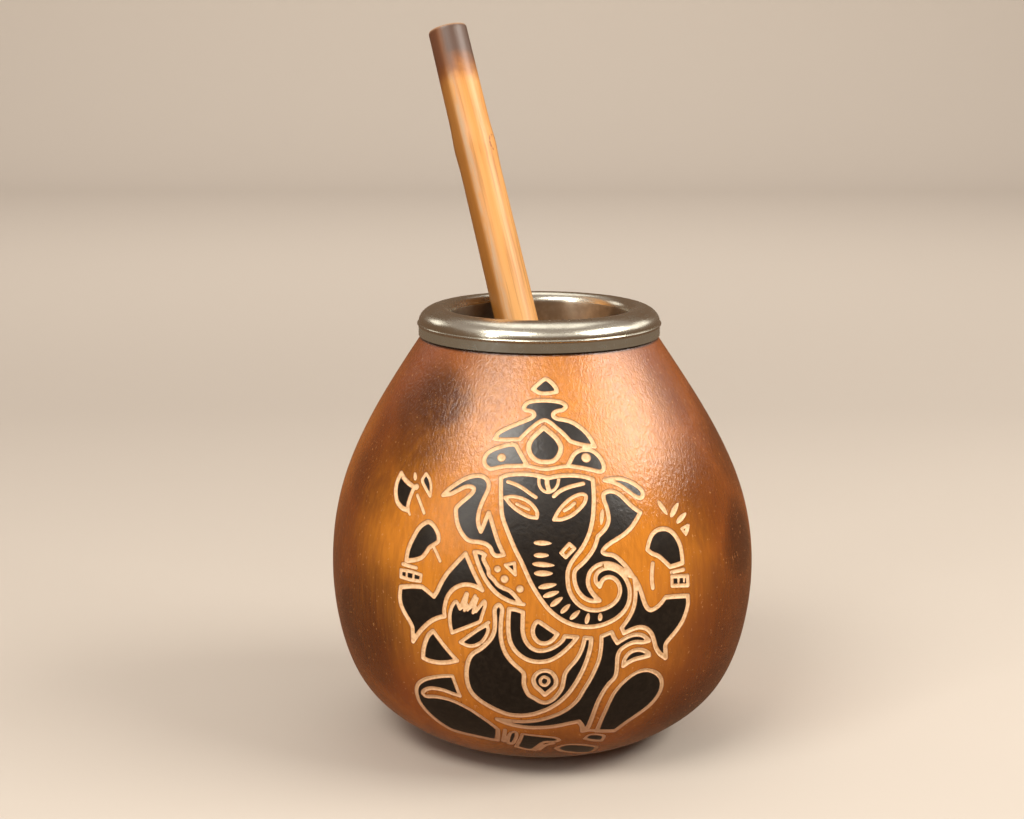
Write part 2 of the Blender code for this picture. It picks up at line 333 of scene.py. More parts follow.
        "rightLeg": [(596.8, 731.2, 1), (600.5, 722), (604.8, 712.5), (609, 703.3), (613.5, 694.5),
            (619, 687), (625.8, 680.3), (633, 674.8), (640.5, 671.2), (648.5, 670.3), (656, 672.8),
            (660.8, 677.8), (662, 684.3), (660.3, 691.3), (656, 698.5), (650, 705.2),
            (642.5, 711.2), (634.5, 716.8), (626.5, 722.3), (619.5, 727.5), (614.8, 731, 1),
            (606, 731.3)],
        "ankleRing": [(511.5, 732.5), (516.3, 733), (515.8, 738.5), (512.5, 743.5), (508, 743),
            (508.3, 737.5)],
        "leftFoot": [(522.5, 734.3, 1), (533, 735.6), (545, 736.9), (555, 738), (559.3, 740.3),
            (554, 742), (545, 742.3), (539.5, 745), (535, 750.3, 1), (525, 749.2),
            (516.3, 746.8, 1), (519.5, 741)],
        "rightFoot": [(556, 748.3, 1), (565, 745.3), (577, 744.8), (589, 745.8), (596.5, 747.5),
            (592, 751.5), (582, 753), (570, 752.3), (561, 751)],
        "rightAnkle": [(584.5, 738.7, 1), (589, 735.3), (597, 734.6), (604, 736.3),
            (601.5, 741, 1), (593, 740.5)],
    },
    "skinIslands": {
        "leftEye": [(505, 497.3, 1), (512, 496.4), (521, 498), (529, 502), (534.5, 507.5),
            (537.3, 513), (536.8, 517.8, 1), (529, 516.6), (519, 511.3), (510.5, 504.3)],
        "rightEye": [(554, 519.5, 1), (558.5, 511), (565.5, 502.8), (574, 496.5), (582, 494),
            (586, 495.8), (585, 502), (579.5, 509), (571.5, 515.5), (562, 519.3)],
        "tusk": [(569.3, 543.8, 1), (574.5, 548.5, 1), (565.8, 557.3, 1), (561.3, 552.8, 1)],
        "petalLoop": [(687.8, 525.2, 1), (681.6, 528.6, 1), (685.3, 533.5, 1)],
    },
    "strokes": {
        "crownBand": [(527, 465.8), (536, 467.6), (546, 469.2), (554, 468), (562, 466.7),
            (569, 466.1)],
        "leftBrow": [(508, 481.6), (515, 484), (523, 488.2), (530, 493.3), (535.8, 497.2)],
        "rightBrow": [(554, 496), (560, 491), (568, 487.3), (577, 484.8), (583.3, 483.4)],
        "foreheadMark": [(538.8, 479), (539.3, 485), (542.5, 490), (548, 492.3), (554, 489.8),
            (557.5, 485), (558.8, 479)],
        "foreheadStem": [(547, 478.5), (547.2, 484), (548.8, 489.5)],
        "leftPupil": [(516.5, 503.6), (523, 507), (529, 509.6)],
        "rightPupil": [(564.5, 510.6), (570, 507.2), (574.5, 503)],
        "axeTail": [(407.8, 510), (409.8, 514.5)],
        "axeShaft": [(417.3, 495), (420.5, 503.5), (424, 513)],
        "leftThumb": [(433.5, 546.5), (436.5, 553), (440, 561)],
        "leftCuff": [(402.8, 564), (409, 566), (416.3, 567.8)],
        "leftBraceletBarA": [(406.6, 571.5), (406.2, 578)],
        "leftBraceletBarB": [(413.4, 573), (412.9, 579.8)],
        "fingerA": [(456.5, 601.5), (459.8, 609)],
        "fingerB": [(459.8, 609), (463, 600.5), (466.3, 593)],
        "fingerC": [(467.5, 593.8), (465.8, 602), (464.3, 610.5)],
        "fingerD": [(467.3, 610), (471.5, 602.5), (475.3, 595.5)],
        "fingerE": [(477.3, 598.5), (474.5, 606), (472.8, 613)],
        "bowlRim": [(476, 630.6), (488.6, 622.3)],
        "sashTail": [(508, 600.6), (516, 603.4), (524, 604.4)],
        "navelRing": [(544.4, 677), (548.3, 679), (548.6, 682.5), (545.5, 685.6), (541.4, 684.4),
            (540.2, 680.6), (542.4, 677.6), (544.4, 677)],
        "rightWrist": [(652.8, 563.5), (652, 572), (652, 581), (653, 588)],
        "rightCuff": [(671.5, 572.2), (677.5, 571), (683.8, 569.5)],
        "rightBraceletBarA": [(678.9, 577.5), (678.8, 582)],
        "rightBraceletBarB": [(684.4, 577.5), (684.3, 581.5)],
        "ankleLine": [(505, 730), (503.4, 741.5)],
        "toeLineA": [(541, 744.3), (534, 749.6)],
        "toeLineB": [(553, 743.6), (545, 745.6), (538.5, 749.8)],
        "hemCorner": [(583, 731.6), (590, 730.3), (597, 731)],
    },
    "dabs": {
        "trunkA": [(534, 542.7), (551.8, 543.3)],
        "trunkB": [(534.3, 555.2), (549, 555.4)],
        "trunkC": [(532.3, 563.8), (554.8, 565.5)],
        "trunkD": [(534.5, 573.3), (553, 573.5)],
        "trunkE": [(538.7, 587.6), (556.8, 584.3)],
        "trunkF": [(543.5, 596.6), (559.2, 591.6)],
        "trunkG": [(550.8, 606), (562.6, 597.3)],
        "trunkH": [(561.3, 612.8), (570, 604.4)],
        "trunkI": [(570.5, 619), (580, 610.6)],
        "trunkJ": [(586.5, 623.6), (588.6, 613.3)],
        "trunkK": [(600.2, 620.2), (600.5, 613.5)],
        "cheek": [(602.6, 509.5), (601.2, 525)],
        "petalA": [(658, 500.8), (667.6, 514.8)],
        "petalB": [(670.8, 516.6), (678.3, 502.8)],
        "petalC": [(676.8, 522.7), (686.4, 512.6)],
        "petalD": [(685.6, 535.6), (689.3, 524)],
        "axeTop": [(415.4, 479.8), (414.8, 472.2)],
    },
    "dots": {
        "leftLobeDot": [(501.5, 457.4)],
        "rightLobeDot": [(586.2, 457.6)],
        "axePin": [(416.3, 486.8)],
        "sashDotA": [(497.5, 569)],
        "sashDotB": [(504.5, 579)],
        "sashDotC": [(520, 589)],
    },
    "commonWidth": {"blackShapes": 4.1, "skinIslands": 3.6, "strokes": 3.0, "dabs": 5.0,
                    "dots": 7.0},
    # Width of each cut in the view, where it isn't the common one of its kind.
    "widths": {
        "jewel": 4.7, "axeHook": 2.9, "sashTriangle": 3.2, "leftBracelet": 3.1,
        "rightBracelet": 3.4, "ankleRing": 2.6, "leftFoot": 2.6, "rightFoot": 2.6,
        "rightAnkle": 2.4, "petalLoop": 2.6, "leftLeg": 3.4, "rightLeg": 3.6, "robe": 3.9,
        "leftPalm": 3.4, "leftBowl": 3.4, "crownBand": 3.6, "leftBrow": 3.6, "rightBrow": 4.0,
        "foreheadStem": 4.4, "leftPupil": 2.8, "rightPupil": 3.4, "axeTail": 2.4, "leftCuff": 3.4,
        "rightCuff": 3.4, "rightWrist": 4.0, "bowlRim": 3.4, "leftBraceletBarA": 2.4,
        "leftBraceletBarB": 2.4, "rightBraceletBarA": 2.4, "rightBraceletBarB": 2.2,
        "sashTail": 3.4, "trunkD": 5.8, "trunkE": 5.4, "trunkF": 5.4, "trunkG": 5.4, "trunkJ": 4.6,
        "trunkK": 4.4, "cheek": 4.2, "petalB": 5.4, "petalD": 3.6, "axeTop": 3.8,
        "leftLobeDot": 8.0, "rightLobeDot": 9.0, "axePin": 5.6, "sashDotA": 6.4, "sashDotB": 7.4,
    },
    "viewScale": 4.75,       # view lengths in a millimetre at the front of the gourd
    "leastFacing": 0.3,      # a cut is widened up to here where the skin turns away
    "pathStep": 1.2,         # view length between samples of a path
    "dabSamples": 17,        # points along a dab
    "dabPowers": (0.8, 0.6),    # how a dab swells along its length
    "dabTip": 0.02,          # half width at both ends of a dab
    "dotLength": 1e-4,       # a dot is a piece as short as this
    "cutDepth": 0.34,
    "fullDepthHalf": 0.42,   # half width of a cut that is as deep as cutDepth
    "depthShares": (0.3, 1.3),    # least and most of cutDepth in narrow and wide cuts
    "blackDepth": 0.06,      # how much lower the blackened fields lie than the skin
    "rim": 0.999,            # from here out a point belongs to the skin or the black field
    "patchTurn": 62.0,       # half width of the finely cut patch, in degrees
    "patchRows": (4, 118),   # its lowest and highest row in the gourd's grid
    "radianSpan": 40.0,      # millimetres that stand for one radian where the patch lies flat
    "cell": 0.16,            # step of the grid that the cut's edges are found on
    "nearest": 0.02,         # least share of a cell between an edge's point and a grid line
    "slack": 0.012,          # how far an edge may be straightened
    "longest": 8,            # most cells that one straight piece of an edge takes up
    "leastLoop": 3,          # edges with no more points than this are left out
    "weld": 1e-7,            # points closer than this become one in the patch
    "snap": 1e-6,            # lengths and angles up to here count as none
    "skinStep": 1.7,         # spacing of the points away from the cuts
    "inset": (0.6, 0.5, 0.4),    # steps that they keep from the patch's two sides
    "reach": 1.35,           # widest half width of a cut
    "margin": 1.3,           # room added to a reach, as a factor
    "leastRadius": 10.0,     # smallest radius that a reach is turned into an angle at
    "burntReach": 1.45,      # outer side of the burnt line beside a cut, in half widths
    "far": 9.0,              # field value where no cut is near
    "searchReach": 1.6,      # how far from a point the nearest cut is looked for
    "edgeCap": 2.0,          # highest value that the materials get to see
}


def smoothPath(points, closed):
    # A curve through the points that turns sharply at the corners only.
    spots = [np.array(p[:2], float) for p in points]
    corner = [len(p) > 2 for p in points]
    count = len(spots)
    made = []
    for i in range(count if closed else count - 1):
        a, b = spots[i], spots[(i + 1) % count]
        before = spots[i - 1] if closed or i > 0 else 2 * a - b
        after = spots[(i + 2) % count] if closed or i + 2 < count else 2 * b - a
        if corner[i]:
            before = 2 * a - b
        if corner[(i + 1) % count]:
            after = 2 * b - a
        span = np.linalg.norm(b - a)
        leave = (b - before) / (np.linalg.norm(a - before) + span) * span
        arrive = (after - a) / (span + np.linalg.norm(after - b)) * span
        steps = max(1, math.ceil(span / carving["pathStep"]))
        for k in range(steps):
            t = k / steps
            made.append((2 * t ** 3 - 3 * t ** 2 + 1) * a + (t ** 3 - 2 * t ** 2 + t) * leave
                        + (3 * t ** 2 - 2 * t ** 3) * b + (t ** 3 - t ** 2) * arrive)
    made.append(spots[0] if closed else spots[-1])
    return np.array(made)


def cutPaths():
    # Every cut as (kind, samples on the skin, half widths in millimetres).
    paths = []
    share = np.linspace(0, 1, carving["dabSamples"])
    for kind, commonWidth in carving["commonWidth"].items():
        for name, points in carving[kind].items():
            width = carving["widths"].get(name, commonWidth)
            if kind == "dots":
                line = np.array(points, float)
            elif kind == "dabs":
                ends = np.array(points, float)
                line = ends[0] + (ends[1] - ends[0]) * share[:, None]
            else:
                line = smoothPath(points, kind in ("blackShapes", "skinIslands"))
            track = ontoSkin(line)
            out = skinOut(track[:, 0], track[:, 1])
            facing = -(out * sightLine(line)).sum(axis=1)
            facing = np.clip(facing, carving["leastFacing"], 1.0)
            half = width / 2 / carving["viewScale"] / np.sqrt(facing)
            if kind == "dabs":
                first, second = carving["dabPowers"]
                half = half * np.sin(np.pi * share ** first) ** second
                half[[0, -1]] = carving["dabTip"]
            paths.append((kind, track, half))
    return paths


def pathPieces(paths):
    # Short pieces of every path: both ends on the skin, in space, and their half widths.
    starts, ends, startHalf, endHalf = [], [], [], []
    for kind, track, half in paths:
        if kind == "dots":
            track, half = np.vstack([track, track + carving["dotLength"]]), np.repeat(half, 2)
        starts.append(track[:-1])
        ends.append(track[1:])
        startHalf.append(half[:-1])
        endHalf.append(half[1:])
    starts, ends = np.vstack(starts), np.vstack(ends)
    return (starts, ends, skinPoint(starts[:, 0], starts[:, 1]),
            skinPoint(ends[:, 0], ends[:, 1]), np.concatenate(startHalf), np.concatenate(endHalf))


def nearestOn(pieces, chosen, place):
    # Nearest points of the chosen pieces to a place, and their half widths there.
    _, _, startPlace, endPlace, startHalf, endHalf = pieces
    start = startPlace[chosen]
    axis = endPlace[chosen] - start
    share = ((place - start) * axis).sum(-1) / ((axis * axis).sum(-1) + tiny)
    share = np.clip(share, 0, 1)
    half = startHalf[chosen] + (endHalf[chosen] - startHalf[chosen]) * share
    return start + share[..., None] * axis, half


def cutField(pieces, turns, alongs):
    # How many half widths each grid point lies from the nearest cut; under 1 is inside it.
    grid = skinPoint(turns[None, :], alongs[:, None] + np.zeros_like(turns)[None, :])
    field = np.full(grid.shape[:2], carving["far"])
    reach = carving["reach"] * carving["margin"]
    turnStep, alongStep = turns[1] - turns[0], alongs[1] - alongs[0]
    for k, (start, end) in enumerate(zip(*pieces[:2])):
        low, high = np.minimum(start, end), np.maximum(start, end)
        room = reach / max(outlineAt(low[1])[0], carving["leastRadius"])
        i0 = max(int((low[0] - room - turns[0]) / turnStep), 0)
        i1 = min(int((high[0] + room - turns[0]) / turnStep) + 2, len(turns))
        j0 = max(int((low[1] - reach - alongs[0]) / alongStep), 0)
        j1 = min(int((high[1] + reach - alongs[0]) / alongStep) + 2, len(alongs))
        if i1 <= i0 or j1 <= j0:
            continue
        near, half = nearestOn(pieces, k, grid[j0:j1, i0:i1])
        value = np.linalg.norm(grid[j0:j1, i0:i1] - near, axis=-1) / half
        window = field[j0:j1, i0:i1]
        np.minimum(window, value, out=window)
    return field


def edgeLines(field, turns, alongs):
    # Lines where the field is 1, by marching squares, chained end to end.
    inside = field < 1.0
    across = inside[:, :-1] != inside[:, 1:]
    upward = inside[:-1, :] != inside[1:, :]
    turnStep, alongStep = turns[1] - turns[0], alongs[1] - alongs[0]
    least = carving["nearest"]
    spots, number = [], {}
    for way, crossed in enumerate((across, upward)):
        for j, i in zip(*np.nonzero(crossed)):
            ahead = field[j + way, i + 1 - way]
            share = (1 - field[j, i]) / (ahead - field[j, i])
            share = min(max(share, least), 1 - least)
            number[(way, j, i)] = len(spots)
            spots.append((turns[i] + (1 - way) * share * turnStep,
                          alongs[j] + way * share * alongStep))
    joined = [[] for _ in spots]
    cells = np.nonzero(across[:-1] | across[1:] | upward[:, :-1] | upward[:, 1:])
    for j, i in zip(*cells):
        sides = [number.get(key) for key in ((0, j, i), (1, j, i + 1), (0, j + 1, i), (1, j, i))]
        met = [side for side in sides if side is not None]
        pairs = [met]
        if len(met) == 4:
            # Two lines cross the cell: they part to the sides that its middle belongs to.
            middle = field[j:j + 2, i:i + 2].mean() < 1
            if middle == bool(inside[j, i]):
                pairs = [(sides[0], sides[1]), (sides[2], sides[3])]
            else:
                pairs = [(sides[0], sides[3]), (sides[1], sides[2])]
        for a, b in pairs:
            joined[a].append(b)
            joined[b].append(a)
    spots = np.array(spots)
    used = np.zeros(len(spots), bool)
    loops = []
    for first in range(len(spots)):
        if used[first] or len(joined[first]) != 2:
            continue
        loop, current, before = [first], first, -1
        used[first] = True
        while True:
            following = [n for n in joined[current] if n != before]
            if not following or following[0] == first or used[following[0]]:
                break
            before, current = current, following[0]
            used[current] = True
            loop.append(current)
        loops.append(spots[loop])
    return loops


def straightened(loop, scale):
    # Leaves out points that lie on the line between their neighbours.
    flat = loop * scale
    count = len(flat)
    if count < carving["longest"]:
        return loop
    kept = [0]
    while kept[-1] < count - 1:
        start = kept[-1]
        reach = 2
        while reach <= carving["longest"] and start + reach <= count:
            chord = flat[(start + reach) % count] - flat[start]
            between = flat[start + 1:start + reach] - flat[start]
            off = np.abs(chord[0] * between[:, 1] - chord[1] * between[:, 0])
            if (off > carving["slack"] * (np.linalg.norm(chord) + tiny)).any():
                break
            reach += 1
        kept.append(start + reach - 1)
    return loop[[k for k in kept if k < count]]


def insideShape(points, shape):
    # Which of the points lie inside a closed path, by counting crossings.
    low, high = shape.min(axis=0), shape.max(axis=0)
    near = np.nonzero(((points >= low) & (points <= high)).all(axis=1))[0]
    x, y = points[near, 0], points[near, 1]
    odd = np.zeros(len(near), bool)
    for a, b in zip(shape, np.roll(shape, -1, axis=0)):
        if a[1] != b[1]:
            crosses = (a[1] > y) != (b[1] > y)
            odd ^= crosses & (x < (b[0] - a[0]) * (y - a[1]) / (b[1] - a[1]) + a[0])
    result = np.zeros(len(points), bool)
    result[near] = odd
    return result


def blackAt(points, paths):
    black = np.zeros(len(points), bool)
    for kind, track, _ in paths:
        if kind == "blackShapes":
            black |= insideShape(points, track)
        elif kind == "skinIslands":
            black &= ~insideShape(points, track)
    return black


def skinGrid(turns, alongs, fineTurns, fineAlongs, field):
    # Points over the skin between the cuts, every second row set half a step along.
    step = carving["skinStep"]
    across = step / carving["radianSpan"]
    start, end, side = carving["inset"]
    found = []
    levels = np.arange(alongs[0] + step * start, alongs[-1] - step * end, step)
    for row, along in enumerate(levels):
        line = np.arange(turns[0] + across * start, turns[-1] - across * end, across)
        line = line + (row % 2) * across / 2
        line = line[line < turns[-1] - across * side]
        found.append(np.stack([line, np.full(len(line), along)], axis=1))
    found = np.vstack(found)
    i = np.searchsorted(fineTurns, found[:, 0]).clip(1, len(fineTurns) - 2)
    j = np.searchsorted(fineAlongs, found[:, 1]).clip(1, len(fineAlongs) - 2)
    near = np.minimum(field[j, i], field[j - 1, i - 1])
    return found[near > carving["burntReach"] * carving["margin"]]


def carvedPatch(turns, alongs, paths, pieces):
    # The patch of skin with the figure cut into it, laid flat: its points and faces.
    # turns and alongs are the columns and rows of the gourd's grid that it takes up.
    cell, scale = carving["cell"], np.array([carving["radianSpan"], 1.0])
    fineTurns, fineAlongs = [
        np.linspace(side[0], side[-1], int((side[-1] - side[0]) * span / cell))
        for side, span in zip((turns, alongs), scale)]
    field = cutField(pieces, fineTurns, fineAlongs)
    loops, beside = [
        [straightened(loop, scale) for loop in edgeLines(field / reach, fineTurns, fineAlongs)]
        for reach in (1.0, carving["burntReach"])]
    loops = [loop for loop in loops if len(loop) > carving["leastLoop"]]
    report(f"{len(loops)} edges of cuts with {sum(map(len, loops))} points")

    border = [(t, alongs[0]) for t in turns[:-1]] + [(turns[-1], a) for a in alongs[:-1]]
    border += [(t, alongs[-1]) for t in turns[:0:-1]] + [(turns[0], a) for a in alongs[:0:-1]]
    points, edges = [], []
    total = 0
    for loop in [np.array(border)] + loops:
        edges += [(total + k, total + (k + 1) % len(loop)) for k in range(len(loop))]
        points.append(loop)
        total += len(loop)
    points += [pieces[0], *beside, skinGrid(turns, alongs, fineTurns, fineAlongs, field)]
    flat = np.vstack(points) * scale
    made = delaunay_2d_cdt([Vector(p) for p in flat], edges, [], 1, carving["weld"])
    spots = np.array([tuple(v) for v in made[0]]) / scale
    onSide = np.abs(spots[:, 0] - turns[0]) < carving["snap"]
    spots[:, 0] = np.where(onSide, turns[0], spots[:, 0])
    faces = np.array(made[2])
    report(f"patch of {len(spots)} points and {len(faces)} faces")
    return spots, faces


def cutShape(spots, pieces, tree):
    # For points of the patch: half widths from the nearest cut, the way to it, its half width.
    places = skinPoint(spots[:, 0], spots[:, 1])
    value = np.full(len(spots), carving["far"])
    toward = np.zeros((len(spots), 3))
    width = np.ones(len(spots))
    for index, place in enumerate(places):
        chosen = sorted({item[1] for item in tree.find_range(place, carving["searchReach"])})
        if not chosen:
            continue
        near, half = nearestOn(pieces, chosen, place)
        gap = np.linalg.norm(place - near, axis=1)
        best = np.argmin(gap / half)
        value[index] = gap[best] / half[best]
        width[index] = half[best]
        toward[index] = (near[best] - place) / max(gap[best], carving["snap"])
    return value, toward, width


def shapedPatch(turns, alongs):
    # Lowers the patch's cuts and black fields and sorts its faces by material.
    paths = cutPaths()
    pieces = pathPieces(paths)
    tree = kdtree.KDTree(len(pieces[0]) * 2)
    for k, (start, end) in enumerate(zip(*pieces[2:4])):
        tree.insert(start, k)
        tree.insert((start + end) / 2, k)
    tree.balance()

    spots, faces = carvedPatch(turns, alongs, paths, pieces)
    value, toward, width = cutShape(spots, pieces, tree)
    share = np.clip(value, 0, 1)
    deepest = np.clip(width / carving["fullDepthHalf"], *carving["depthShares"])
    deepest = carving["cutDepth"] * deepest
    depth = np.where(blackAt(spots, paths), carving["blackDepth"], 0.0)
    depth = depth + np.where(value < carving["rim"], deepest * (1 - share ** 2), 0.0)
    out = skinOut(spots[:, 0], spots[:, 1])
    points = skinPoint(spots[:, 0], spots[:, 1]) - out * depth[:, None]

    centres = spots[faces].mean(axis=1)
    kinds = np.where(blackAt(centres, paths), blackFace, skinFace)
    kinds = np.where(cutShape(centres, pieces, tree)[0] < 1.0, cutFace, kinds)

    # Corner normals: the skin's own, tilted by the sides of a cut inside it.
    corners = faces.reshape(-1)
    slope = 2 * deepest[corners] * share[corners] / width[corners]
    slope = np.where(np.repeat(kinds, 3) == cutFace, slope, 0.0)
    normals = out[corners] + toward[corners] * slope[:, None]
    normals /= np.linalg.norm(normals, axis=1)[:, None]
    return {"spots": spots, "points": points, "faces": faces, "kinds": kinds,
            "normals": normals, "value": value}


def innerSection():
    # Down the inside: over the cut neck, down the bore and round the hollow to its floor.
    control = outlinePoints[::gourd["innerEvery"]]
    along = np.gradient(control, axis=0)
    along /= np.linalg.norm(along, axis=1)[:, None]
    inner = control + np.stack([-along[:, 1], along[:, 0]], axis=1) * gourd["wall"]
    bore, neck, edge = gourd["boreRadius"], gourd["neckRadius"], gourd["edgeRound"]
    kept = inner[(inner[:, 0] > bore) & (inner[:, 1] >= gourd["wall"] - carving["snap"])]
    foot = kept[-1, 1] + (kept[-1, 0] - bore)
    kept = kept[kept[:, 1] < foot]
    section = [(neck, ledgeHigh), (neck, neckTop - edge), (neck - edge, neckTop),
               (bore, neckTop), (bore, foot)]
    section += [tuple(p) for p in kept[::-1]]
    return section + [(kept[0, 0] * gourd["floorRing"], gourd["wall"]), (0.0, gourd["wall"])]


def makeGourd():
    around, rows = gourd["around"], gourd["rows"]
    turns = (np.arange(around) - around // 2) * (2 * math.pi / around)
    alongs = np.linspace(0, outlineLength, rows + 1)
    halfTurn = int(round(carving["patchTurn"] / 360 * around))
    first, last = around // 2 - halfTurn, around // 2 + halfTurn
    low, high = carving["patchRows"]
    patch = shapedPatch(turns[first:last + 1], alongs[low:high + 1])

    def vertex(j, i):
        return j * around + i % around

    def spotKey(turn, along):
        return round(turn, 6), round(along, 5)    # finer than any step of the grid

    everyTurn, everyAlong = np.tile(turns, rows + 1), np.repeat(alongs, around)
    gridOut = skinOut(everyTurn, everyAlong)
    vertices = [skinPoint(everyTurn, everyAlong)]
    faces, kinds, cornerNormals, known = [], [], [], {}
    for j in range(rows):
        for i in range(around):
            if low <= j < high and first <= i < last:
                continue
            quad = [vertex(j, i), vertex(j, i + 1), vertex(j + 1, i + 1), vertex(j + 1, i)]
            faces.append(quad)
            kinds.append(skinFace)
            cornerNormals.extend(gridOut[k] for k in quad)
    count = len(gridOut)

    # The patch's border points are the grid's own points.
    for j in range(low, high + 1):
        for i in range(first, last + 1):
            if j in (low, high) or i in (first, last):
                known[spotKey(turns[i], alongs[j])] = vertex(j, i)
    index, extra = [], []
    for spot, point in zip(patch["spots"], patch["points"]):
        same = known.get(spotKey(*spot))
        if same is None:
            same = count + len(extra)
            extra.append(point)
        index.append(same)
    index = np.array(index)
    vertices.append(np.array(extra))
    faces += index[patch["faces"]].tolist()
    kinds += patch["kinds"].tolist()
    cornerNormals.extend(patch["normals"])
    count += len(extra)

    # Underside: one flat disc out to the first row.
    vertices.append(np.zeros((1, 3)))
    for i in range(around):
        faces.append([count, vertex(0, i + 1), vertex(0, i)])
        kinds.append(skinFace)
        cornerNormals.extend([np.array([0.0, 0.0, -1.0])] * 3)
    count += 1

    lastRow = [vertex(rows, i) for i in range(around)]
    for radius, height in innerSection():
        x = radius * np.sin(turns) + shiftAt(height)
        ring = np.stack([x, -radius * np.cos(turns), np.full(around, height)], axis=1)
        if radius == 0.0:
            ring = ring[:1]
        row = [count + i % len(ring) for i in range(around)]
        vertices.append(ring)
        count += len(ring)
        for i in range(around):
            n = (i + 1) % around
            face = [lastRow[i], lastRow[n], row[n], row[i]]
            faces.append(face if row[n] != row[i] else face[:3])
            kinds.append(rawFace)
        lastRow = row

    points = np.vstack(vertices) * mm
    mesh = newMesh("gourd_skin", points, faces)
    for material in (newMaterial("gourd skin", skin["sockets"], drawnSkin),
                     mottled("pale cut", paleCut, shadedAndBurntCut), mottled("burnt black", burntBlack),
                     mottled("raw inside", rawInside)):
        mesh.materials.append(material)
    mesh.polygons.foreach_set("material_index", kinds)
    value = np.full(len(points), carving["edgeCap"], np.float32)
    value[index] = np.minimum(patch["value"], carving["edgeCap"])
    edge = mesh.attributes.new("edge", 'FLOAT', 'POINT')
    edge.data.foreach_set("value", value)

    # The inside keeps the mesh's own normals, with creases at the neck's corners.
    mesh.set_sharp_from_angle(angle=math.radians(gourd["crease"]))
    own = np.zeros(len(mesh.loops) * 3, np.float32)
    mesh.corner_normals.foreach_get("vector", own)
    own = own.reshape(-1, 3)
    own[:len(cornerNormals)] = np.array(cornerNormals, np.float32)
    mesh.normals_split_custom_set([tuple(n) for n in own])

    obj = newObject("gourd_skin", mesh)
    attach(obj, "root")
    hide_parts("gourd_shell")
    report(f"gourd with {len(faces)} faces")


# Materials: every one is drawn by nodes, in the piece's own coordinates. In the settings a
# noise is (scale, detail, roughness), after the stretch of its place if that has one, a ramp
# is (from, to) or (from, to, start, end), and a bump is (strength, distance).

def plug(tree, socket, value):
    # A socket takes another node's output, a plain number or a colour.
    if isinstance(value, bpy.types.NodeSocket):
        tree.links.new(value, socket)
    else:
        socket.default_value = (*value, 1.0) if socket.type == 'RGBA' else value


def addNode(tree, kind, inputs=(), **settings):
    node = tree.nodes.new(kind)
    for name, value in settings.items():
        setattr(node, name, value)
    for socket, value in dict(inputs).items():
        plug(tree, node.inputs[socket], value)
    return node


def newMaterial(name, sockets, draw=None):
    # draw gives the rest of the shader's sockets for a node tree.
    material = bpy.data.materials.new(name)
    material.use_nodes = True
    tree = material.node_tree
    for socket, value in {**sockets, **(draw(tree) if draw else {})}.items():
        plug(tree, tree.nodes["Principled BSDF"].inputs[socket], value)
    return material


def ownPlace(tree, stretch=(1.0, 1.0, 1.0)):
    place = addNode(tree, "ShaderNodeTexCoord").outputs["Object"]
    mapping = addNode(tree, "ShaderNodeMapping", {"Vector": place, "Scale": stretch})
    return mapping.outputs["Vector"]


def heightOf(tree, vector):
    return addNode(tree, "ShaderNodeSeparateXYZ", {"Vector": vector}).outputs["Z"]


def noise(tree, vector, scale, detail, roughness):
    return addNode(tree, "ShaderNodeTexNoise", {"Vector": vector, "Scale": scale, "Detail": detail,
                                                "Roughness": roughness}).outputs["Fac"]


def stretchedNoise(tree, stretch, *settings):
    return noise(tree, ownPlace(tree, stretch), *settings)


def ranged(tree, value, low, high, start=0.0, end=1.0):
    made = addNode(tree, "ShaderNodeMapRange", {"Value": value, "From Min": low, "From Max": high,
                                                "To Min": start, "To Max": end},
                   interpolation_type='SMOOTHSTEP')
    return made.outputs["Result"]


def math2(tree, operation, first, second=0.0):
    return addNode(tree, "ShaderNodeMath", {0: first, 1: second}, operation=operation).outputs[0]


def times(tree, first, second):
    return math2(tree, 'MULTIPLY', first, second)


def vectorValue(tree, operation, first, second):
    node = addNode(tree, "ShaderNodeVectorMath", {0: first, 1: second}, operation=operation)
    return node.outputs["Value"]


def mixed(tree, share, first, second):
    node = addNode(tree, "ShaderNodeMix", data_type='RGBA')
    for socket, value in ((0, share), (6, first), (7, second)):
        plug(tree, node.inputs[socket], value)
    return node.outputs[2]


def layered(tree, color, *layers):
    for share, tone in layers:
        color = mixed(tree, share, color, tone)
    return color


def bumped(tree, height, strength, distance):
    return addNode(tree, "ShaderNodeBump", {"Height": height, "Strength": strength,
                                            "Distance": distance}).outputs["Normal"]


def mottled(name, look, change=None):
    # Two tones mixed by a grain that also makes the bump; change works on that colour.
    def draw(tree):
        vector = ownPlace(tree)
        grain = noise(tree, vector, *look["grain"])
        color = mixed(tree, ranged(tree, grain, *look["toneRamp"]), *look["tones"])
        if change:
            color = change(tree, vector, color)
        drawn = {"Base Color": color}
        if "bump" in look:
            drawn["Normal"] = bumped(tree, grain, *look["bump"])
        return drawn
    return newMaterial(name, look["sockets"], draw)


